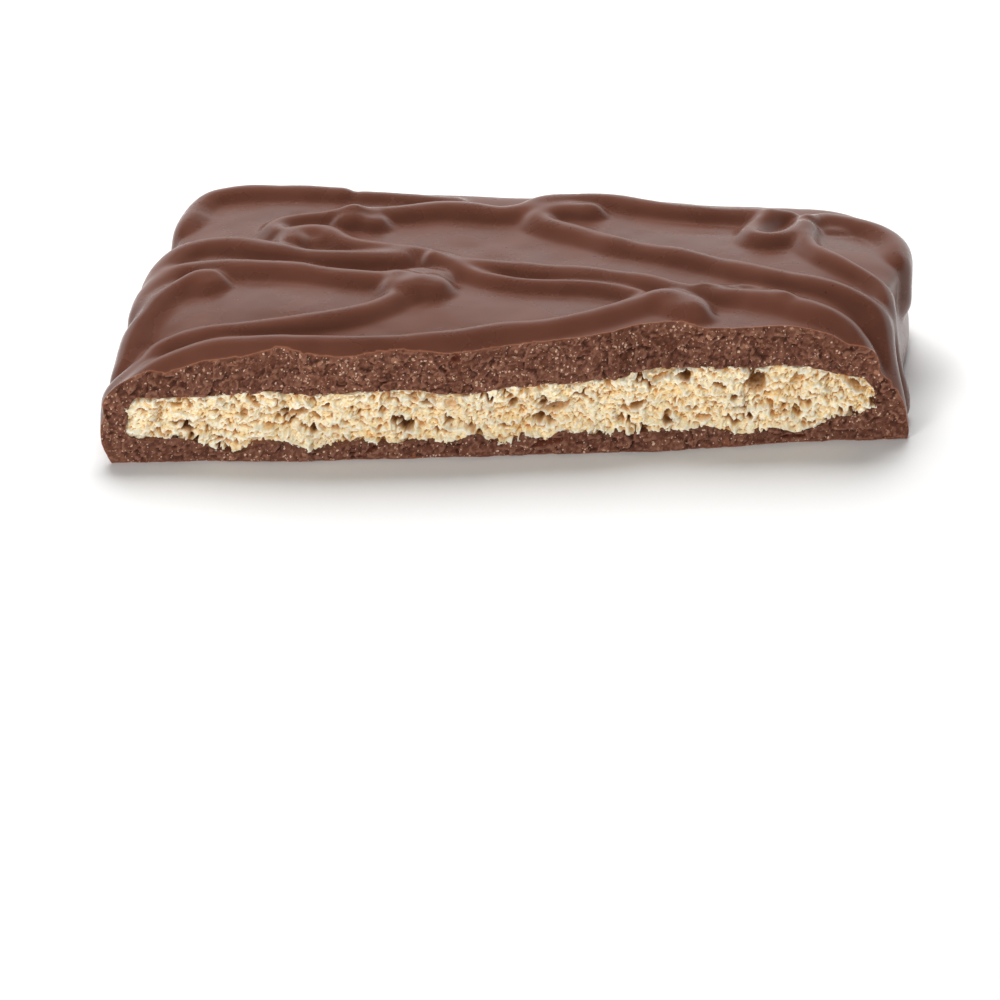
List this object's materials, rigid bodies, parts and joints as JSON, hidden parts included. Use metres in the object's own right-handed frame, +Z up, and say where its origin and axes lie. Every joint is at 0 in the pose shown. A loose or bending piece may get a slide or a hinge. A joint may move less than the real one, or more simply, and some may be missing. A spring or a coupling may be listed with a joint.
{
  "type": "chocolate graham cracker",
  "caption": "Snapped piece of a graham cracker in a thick milk chocolate coat, with raised chocolate drizzle on top and a porous biscuit core that shows at the break. Lies flat.",
  "frame": {"origin": "middle of the base's bounding rectangle, on the surface that the piece lies on", "axes": "+X along the break, +Y from the break towards the whole back edge, +Z up out of the drizzled top"},
  "size_m": [0.0686, 0.0432, 0.0117],
  "materials": {
    "milk_chocolate": "satin milk chocolate",
    "graham_crumb": "dry, matt, porous biscuit crumb"
  },
  "bodies": {
    "root": {"chocolate_coat": "milk_chocolate", "graham_biscuit": "graham_crumb"}
  },
  "joints": []
}
